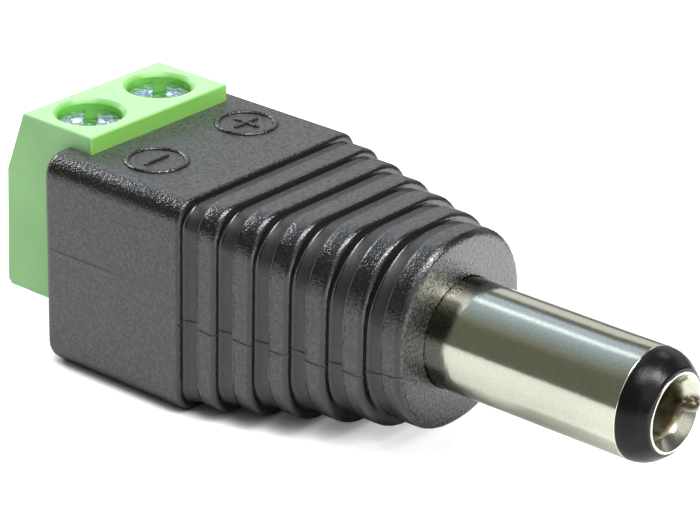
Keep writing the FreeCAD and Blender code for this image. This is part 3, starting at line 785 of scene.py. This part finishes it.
def well_cutter(name, centre, size, top, web_top, roof):
    """A screw well: the shank's hole through the web, then a wider cylinder whose mouth opens as a cone."""
    radius, shank, lead = size.well / 2, size.shank / 2, size.well_lead
    profile = np.array([
        (roof, shank), (web_top, shank), (web_top, radius), (top - lead, radius), (top, radius + lead),
        (top + lead, radius + 2 * lead)])
    return mesh_object(name, *skin(turned(profile, 96, centre, "z")))


def entry_cutter(name, centre, level, size, inside, face):
    """A wire entry: a rounded rectangle carried along X that widens at its mouth."""
    stations = np.array([inside, face + size.entry_lead, face, face - size.entry_lead])
    grow = np.array([0.0, 0.0, size.entry_lead, 2 * size.entry_lead])
    ring = rounded_section(size.entry_width / 2 + grow, size.entry_height / 2 + grow,
                           size.entry_height / 2 + grow, size.entry_corner + grow, 6, 2)
    x = stations[:, None] + 0 * ring[:, :, 0]
    rings = np.stack([x, ring[:, :, 0] + centre, ring[:, :, 1] + level], -1)
    return mesh_object(name, *skin(rings))


def box_cutter(name, low, high, corner):
    """An upright box with round corners."""
    ring = rounded_section([(high[0] - low[0]) / 2] * 2, [(high[1] - low[1]) / 2] * 2,
                           [(high[1] - low[1]) / 2] * 2, [corner] * 2, 4, 1)
    z = np.array([low[2], high[2]])[:, None] + 0 * ring[:, :, 0]
    middle = ((low[0] + high[0]) / 2, (low[1] + high[1]) / 2)
    rings = np.stack([ring[:, :, 0] + middle[0], ring[:, :, 1] + middle[1], z], -1)
    return mesh_object(name, *skin(rings))


class BARRELPLUG_OT_housing(bpy.types.Operator):
    """Builds the green housing with its wells, cavities and wire entries"""
    bl_idname = "barrel_plug.housing"
    bl_label = "Terminal housing"

    def execute(self, context):
        size = settings().housing
        screw_x = -settings().screw.axis
        low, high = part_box("terminal_housing")
        shoulder = high[2] - size.thickness
        outline = [
            (low[0] + size.lip, low[2]), (high[0], low[2]), (high[0], shoulder),
            (screw_x + size.ahead, shoulder), (screw_x + size.ahead, high[2]),
            (screw_x - size.behind, high[2]), (low[0] + size.lean, high[2] - size.slope),
            (low[0], low[2] + size.lip)]
        quarter = np.linspace(0.0, math.pi / 2, 6)
        ends = [(size.edge * (1 - math.cos(turn)), size.edge * (1 - math.sin(turn))) for turn in quarter]
        stations = [(low[1] + step, inset) for step, inset in ends]
        stations += [(high[1] - step, inset) for step, inset in reversed(ends)]
        rings = np.stack([np.insert(offset_outline(outline, inset, size.edge), 1, y, axis=1)
                          for y, inset in stations])
        piece = mesh_object("terminal_housing_skin", *capped(rings), green_plastic())
        web_top = high[2] - size.well_depth
        roof = web_top - size.web
        entry_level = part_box("clamp_cage_minus")[0][2] + size.sill + size.entry_height / 2
        cavity_half, cavity_side, slot_side = 2.6 * MM, 1.9 * MM, 1.25 * MM
        cutters = []
        for pole, side in POLES:
            centre = size.pitch / 2 * side
            bar_low, bar_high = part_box(f"contact_bar_{pole}")
            hole_foot = roof - 0.1 * MM
            cutters += [
                well_cutter(f"well_{pole}", (screw_x, centre), size, high[2], web_top, hole_foot),
                box_cutter(f"cavity_{pole}",
                           (screw_x - cavity_half, centre - cavity_side, low[2] + size.floor),
                           (screw_x + cavity_half, centre + cavity_side, roof), 0.2 * MM),
                box_cutter(f"bar_slot_{pole}", (screw_x + 2 * MM, centre - slot_side, bar_low[2]),
                           (high[0] + 1 * MM, centre + slot_side, bar_high[2]), 0.01 * MM),
                entry_cutter(f"entry_{pole}", centre, entry_level, size, screw_x - 2 * MM, low[0])]
        carve(piece, cutters)
        settle(piece, "body", ["terminal_housing"])
        return {"FINISHED"}


class BARRELPLUG_OT_screws(bpy.types.Operator):
    """Builds the two clamp screws with slot, cross and thread"""
    bl_idname = "barrel_plug.screws"
    bl_label = "Clamp screws"

    def execute(self, context):
        size = settings().screw
        finish = zinc_plate()
        radius, root, slot = size.head / 2, size.thread / 2 - size.thread_depth, size.slot / 2
        for pole, side in POLES:
            low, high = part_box(f"clamp_screw_{pole}")
            centre = (-size.axis, settings().housing.pitch / 2 * side)
            top, head_low = high[2], high[2] - size.head_height
            head = eased([
                (top - 0.01 * MM, radius * 0.2, 0), (top - 0.015 * MM, radius * 0.5, 0.2 * MM),
                (top - 0.04 * MM, radius, 0.08 * MM), (head_low, radius, 0.08 * MM), (head_low, root, 0)])
            turn = circle(96)
            run = head_low - np.linspace(0.0, 1.0, 140)[:, None] * (head_low - low[2])
            wave = np.abs((run / size.pitch - turn / (2 * math.pi)) % 1.0 * 2 - 1)
            fade = np.clip((head_low - run) / (0.5 * MM), 0, 1) * np.clip((run - low[2]) / (0.35 * MM), 0, 1)
            reach = root + size.thread_depth * (wave * fade + (1 - fade) * 0.2)
            shank = np.stack([centre[0] + reach * np.cos(turn), centre[1] + reach * np.sin(turn),
                              run + 0 * turn], -1)
            points, faces = skin(np.concatenate([turned(head, 96, centre, "z"), shank]))
            piece = mesh_object(f"screw_{pole}", points, faces, finish)
            cutters = []
            for name, half, degrees, depth in (("slot", radius * 1.3, -50.0, size.slot_depth),
                                               ("cross", radius * 0.62, 40.0, size.slot_depth * 0.9)):
                angle = math.radians(degrees)
                across, along = np.array([(-half, -slot), (half, -slot), (half, slot), (-half, slot)]).T
                level = np.array([top - depth, top + 1 * MM])[:, None]
                x = centre[0] + across * math.cos(angle) - along * math.sin(angle) + 0 * level
                y = centre[1] + across * math.sin(angle) + along * math.cos(angle) + 0 * level
                cutters.append(mesh_object(f"{name}_{pole}", *skin(np.stack([x, y, level + 0 * x], -1))))
            carve(piece, cutters)
            settle(piece, f"screw_{pole}", [f"clamp_screw_{pole}"], 30.0)
        return {"FINISHED"}


class BARRELPLUG_OT_barrel(bpy.types.Operator):
    """Builds the nickel sleeve, the black insulator and the flared centre contact"""
    bl_idname = "barrel_plug.barrel"
    bl_label = "Barrel"

    def execute(self, context):
        size = settings().barrel
        outer, inner = size.diameter / 2, size.diameter / 2 - size.wall
        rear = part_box("barrel_sleeve")[0][0]
        flange, flange_rear, flange_out, tail_out = -0.5 * MM, -1.5 * MM, 3.6 * MM, 2.95 * MM
        edge = 0.07 * MM
        sleeve = eased([
            (rear, inner, 0), (size.reach, inner, edge), (size.reach, outer, edge), (flange, outer, 0),
            (flange, flange_out, 0), (flange_rear, flange_out, 0), (flange_rear, tail_out, 0),
            (rear, tail_out, 0)])
        sleeve = np.vstack([spread(sleeve, 2.0 * MM), sleeve[:1]])
        piece = mesh_object("sleeve_skin", *skin(turned(sleeve[:-1], 160), looped=True), nickel_plate())
        settle(piece, "body", ["barrel_sleeve"])

        nose_front = size.reach + size.nose
        tip = nose_front + size.tip
        flare_start = tip - size.flare_depth - 0.3 * MM
        core, flare = size.core / 2, size.flare / 2
        seat, side_radius = size.reach + 0.02 * MM, outer - 0.02 * MM
        nose = eased([
            (rear, core, 0), (flare_start, core, 0), (nose_front, flare, 0.02 * MM),
            (nose_front, 2.1 * MM, 0.12 * MM), (size.reach + 0.6 * MM, side_radius, 0.5 * MM),
            (seat, side_radius, 0.03 * MM), (seat, inner, 0), (rear, inner, 0)], 8)
        rings = turned(spread(nose, 2.0 * MM), 160)
        piece = mesh_object("insulator_skin", *skin(rings, looped=True), nose_plastic())
        settle(piece, "body", ["barrel_insulator"])

        bore = size.bore / 2
        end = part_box("centre_contact")[0][0]
        head, floor = end + 0.4 * MM, 0.79 * MM
        rivet, neck = 1.2 * MM, 0.8 * MM
        contact = eased([
            (end, 0.6 * MM, 0), (end, rivet, 0.1 * MM), (head, rivet, 0), (head, neck, 0),
            (rear, neck, 0), (rear, core, 0.05 * MM), (flare_start, core, 0),
            (nose_front - 0.02 * MM, flare, 0.02 * MM), (tip, flare, 0.05 * MM),
            (tip, flare - 0.12 * MM, 0.06 * MM), (tip - size.flare_depth, bore, 0.25 * MM),
            (floor, bore, 0), (floor - 0.45 * bore, 0.1 * bore, 0)], 6)
        piece = mesh_object("contact_skin", *skin(turned(spread(contact, 1.5 * MM), 128)),
                            nickel_plate("contact_nickel", 0.16, 0.8, 0.06))
        settle(piece, "body", ["centre_contact"])
        return {"FINISHED"}


class BARRELPLUG_OT_inner(bpy.types.Operator):
    """Gives the pieces inside their finishes"""
    bl_idname = "barrel_plug.inner"
    bl_label = "Inner pieces"

    def execute(self, context):
        look = settings().finish
        steel = plain_metal("cage_steel", look.steel, 0.32, 0.4)
        tin = plain_metal("tinned_brass", look.tin, 0.28, 0.3)
        brass = plain_metal("lug_brass", look.brass, 0.3, 0.5)
        solder = plain_metal("solder", tone(look.tin, 0.9), 0.38, 0.1)
        worn = {"clamp_cage": steel, "contact_bar": tin, "sleeve_lug": brass, "centre_lug": brass,
                "solder_joint": solder, "rear_insulating_washer": washer_board()}
        for name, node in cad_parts.items():
            for start, finish in worn.items():
                if name.startswith(start):
                    node.data.materials.clear()
                    node.data.materials.append(finish)
        return {"FINISHED"}


CAMERA_PLACE = (81.739 * MM, -107.170 * MM, 65.121 * MM)
CAMERA_RIGHT = (0.76485, 0.64391, 0.01970)
CAMERA_AHEAD = (-0.57910, 0.70062, -0.41686)
LAMPS = (("soft_box_over", -45.0, 74.0, 0.20, 0.45, 8.8), ("soft_box_right", 8.0, 56.0, 0.12, 0.40, 20.0),
         ("soft_box_left", 175.0, 28.0, 0.11, 0.40, 13.0), ("soft_box_far", 95.0, 42.0, 0.10, 0.45, 3.0))


def direction(azimuth, elevation):
    """The direction of an azimuth and an elevation in degrees."""
    turn, rise = math.radians(azimuth), math.radians(elevation)
    return math.cos(turn) * math.cos(rise), math.sin(turn) * math.cos(rise), math.sin(rise)


def nearness(way, azimuth, elevation):
    """How near a direction is to one given in degrees: the cosine of the angle between them."""
    across, deep, high = direction(azimuth, elevation)
    return way[0] * across + way[1] * deep + way[2] * high


def turn_to(piece, right, up, back):
    """Turns an object so that its axes point along these three."""
    piece.rotation_euler = Matrix(np.array([right, up, back]).T.tolist()).to_euler()


def lamp(name, azimuth, elevation, width, distance, radiance):
    """A square soft box that looks at the body. Its power is radiance times pi times its area."""
    light = bpy.data.lights.new(name, "AREA")
    light.shape = "SQUARE"
    light.size = width
    light.energy = radiance * math.pi * width ** 2
    way = np.array(direction(azimuth, elevation))
    piece = placed(name, light)
    piece.location = np.array([-6 * MM, 0.0, 0.0]) + way * distance
    side = np.cross((0.0, 0.0, 1.0), way)
    side = side / np.linalg.norm(side)
    turn_to(piece, side, np.cross(way, side), way)
    piece.visible_camera = False


def floor_white():
    """White floor. The camera sees it white with the object's shadow, and a painted contact shadow darkens it
    where the object nears it. Reflections see it dark past the table's end, with a painted shadow under the
    barrel, and a painted pool of light makes it brighter on the far side."""
    studio = settings().studio
    board = new_finish("floor_white")
    x, y, _ = board.millimetres()
    camera_ray = board.node("LightPath", out="Is Camera Ray")
    glossy_ray = camera_ray.beside("Is Glossy Ray")
    cloth = board.node("BsdfDiffuse", None, {"Color": (studio.floor,) * 3 + (1.0,)})
    nothing, seen, mirrored = (board.node("Emission", None, {"Strength": strength})
                               for strength in (0.0, studio.glow, studio.sheen))
    # Painted pool of light: the far side of the floor glows brighter, in reflections only.
    painted_far_light = (x * 0.64 + y * 0.77).ramp(-4.0, 22.0) * (x * 0.77 - y * 0.64).ramp(-25.0, -5.0)
    table_end = (x * -0.58 + y * 0.81).ramp(40.0, 100.0)
    # Painted shadow: in reflections the floor is darkened under the barrel.
    under = abs(y).ramp(5.0, 3.5) * x.ramp(1.0, 3.0)
    # Painted contact shadow: ambient occlusion dims the floor's white for the camera where the object nears
    # it.
    open_air = board.node("AmbientOcclusion", {"samples": 16}, {"Distance": 1.5 * MM}, out="AO")
    cloth = board.mixed(glossy_ray * (table_end * 0.8 + under * 0.42), cloth, nothing)
    seen = board.mixed(open_air.ramp(0.15, 0.95), nothing, seen)
    glow = board.mixed(camera_ray, board.mixed(glossy_ray * painted_far_light, nothing, mirrored), seen)
    return board.finish(board.node("AddShader", None, {0: cloth, 1: glow}))


def studio_room():
    """The room, white to the camera. A strip of window to the left has a bright core and a blue haze, and a
    wall behind is lit low down. Reflections find a glow ahead and an olive tint on the near side."""
    studio = settings().studio
    board = Board(bpy.data.worlds.new("studio_room"))
    camera_ray = board.node("LightPath", out="Is Camera Ray")
    glossy_ray = camera_ray.beside("Is Glossy Ray")
    way = board.axes(board.node("TexCoord", out="Generated"))
    x, y, z = way
    turn = y / z.math("MAXIMUM", 0.1)
    strip = x.ramp(-0.28, -0.42) * z.ramp(0.40, 0.60)
    core = abs(turn - 0.32).ramp(0.16, 0.03) * strip
    slant = ((turn + 0.85) / 1.1).math("MAXIMUM", 0.0).math("MINIMUM", 1.0)
    haze = slant ** 1.5 * turn.ramp(1.0, 0.75) * strip
    spread_light = (nearness(way, 148.0, 47.0) - 0.45).math("MAXIMUM", 0.0) ** 2 * z.ramp(0.56, 0.70)
    window = core * 0.8 + haze * 0.5 + spread_light * 0.6
    behind = z.ramp(0.54, 0.42) * z.ramp(0.0, 0.22) * (x * -0.588 + y * 0.809).ramp(0.3, 0.75)
    ahead = nearness(way, -20.0, 34.0).ramp(0.86, 0.98) * glossy_ray
    light = studio.room * (1 + behind * 4.0) + window * studio.window + ahead * 0.8
    near_side = nearness(way, -131.0, 28.0).ramp(0.4, 0.8) * glossy_ray
    olive, blue, white = (0.97, 1.0, 0.78, 1.0), (0.52, 0.70, 1.0, 1.0), (1.0, 1.0, 1.0, 1.0)
    tint = board.paint(white, (near_side, olive), (haze.ramp(0.0, 0.5) * (0.7 - core * 0.2), blue))
    shine = board.node("VectorMath", {"operation": "SCALE"}, {0: tint, "Scale": light})
    backdrop = board.node("Background", None, {"Color": board.paint(shine, (camera_ray, white))})
    return board.finish(backdrop, "OutputWorld")


class BARRELPLUG_OT_stage(bpy.types.Operator):
    """Builds the white floor, the soft light and the camera"""
    bl_idname = "barrel_plug.stage"
    bl_label = "Stage"

    def execute(self, context):
        scene = context.scene
        level = cad_box[0][2] - 0.01 * MM
        reach = 3.0
        corners = [(x * reach, y * reach, level) for x, y in ((-1, -1), (1, -1), (1, 1), (-1, 1))]
        floor = mesh_object("floor", corners, [[0, 1, 2, 3]], floor_white())
        scene.world = studio_room()
        for row in LAMPS:
            lamp(*row)
        camera = bpy.data.cameras.new("camera")
        camera.sensor_fit = "HORIZONTAL"
        camera.sensor_width = 36.0
        camera.lens = settings().studio.lens
        camera.clip_start = 0.01
        camera.clip_end = 20.0
        eye = placed("camera", camera)
        ahead = np.array(CAMERA_AHEAD) / np.linalg.norm(CAMERA_AHEAD)
        right = np.array(CAMERA_RIGHT) - ahead * np.dot(ahead, CAMERA_RIGHT)
        right = right / np.linalg.norm(right)
        eye.location = CAMERA_PLACE
        turn_to(eye, right, np.cross(right, ahead), -ahead)
        scene.camera = eye
        scene.view_settings.view_transform = "Standard"
        return {"FINISHED"}


class BARRELPLUG_PT_panel(bpy.types.Panel):
    """The barrel plug's pieces and settings"""
    bl_label = "Barrel plug"
    bl_idname = "BARRELPLUG_PT_panel"
    bl_space_type = "VIEW_3D"
    bl_region_type = "UI"
    bl_category = "Barrel plug"

    def draw(self, context):
        for operator in OPERATORS:
            self.layout.operator(operator.bl_idname)
        for part in PlugSettings.__annotations__:
            group = getattr(context.scene.barrel_plug, part)
            box = self.layout.box()
            box.label(text=part.capitalize())
            for name in group.__annotations__:
                box.prop(group, name)


OPERATORS = (BARRELPLUG_OT_body, BARRELPLUG_OT_marks, BARRELPLUG_OT_housing, BARRELPLUG_OT_screws,
             BARRELPLUG_OT_barrel, BARRELPLUG_OT_inner, BARRELPLUG_OT_stage)
CLASSES = (BodySizes, MarkSizes, HousingSizes, ScrewSizes, BarrelSizes, Finishes, Studio, PlugSettings,
           *OPERATORS, BARRELPLUG_PT_panel)


def register():
    for item in CLASSES:
        bpy.utils.register_class(item)
    bpy.types.Scene.barrel_plug = bpy.props.PointerProperty(type=PlugSettings)


def unregister():
    del bpy.types.Scene.barrel_plug
    for item in reversed(CLASSES):
        bpy.utils.unregister_class(item)


def main():
    """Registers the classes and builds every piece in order."""
    register()
    bpy.ops.barrel_plug.body()
    bpy.ops.barrel_plug.marks()
    bpy.ops.barrel_plug.housing()
    bpy.ops.barrel_plug.screws()
    bpy.ops.barrel_plug.barrel()
    bpy.ops.barrel_plug.inner()
    bpy.ops.barrel_plug.stage()


if __name__ == "__main__":
    main()
